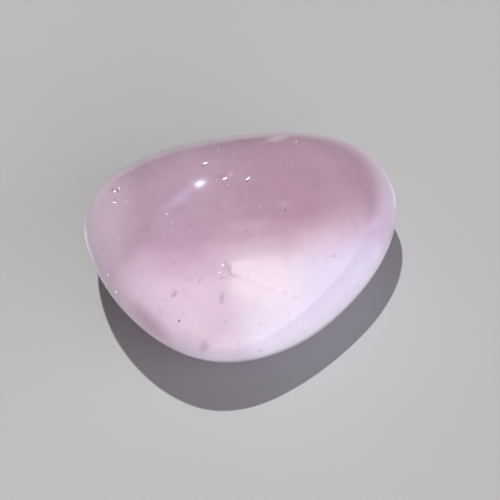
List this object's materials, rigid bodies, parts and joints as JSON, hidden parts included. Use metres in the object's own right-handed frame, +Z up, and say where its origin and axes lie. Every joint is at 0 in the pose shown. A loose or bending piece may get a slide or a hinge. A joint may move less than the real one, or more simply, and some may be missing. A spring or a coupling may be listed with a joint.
{
  "type": "tumbled rose quartz stone",
  "caption": "Polished, tumbled pebble of milky rose quartz: a rounded wedge, cloudy and see-through, that lies on its flattest side.",
  "frame": {"origin": "middle of the stone's footprint, on the surface that the stone lies on", "axes": "+X along the stone's longest side, +Y towards its back slope, +Z up, which is also its smallest size"},
  "size_m": [0.034, 0.0318, 0.0176],
  "materials": {
    "rose_quartz": "tumble-polished, milky inside"
  },
  "bodies": {
    "root": {"rose_quartz_stone": "rose_quartz"}
  },
  "joints": []
}
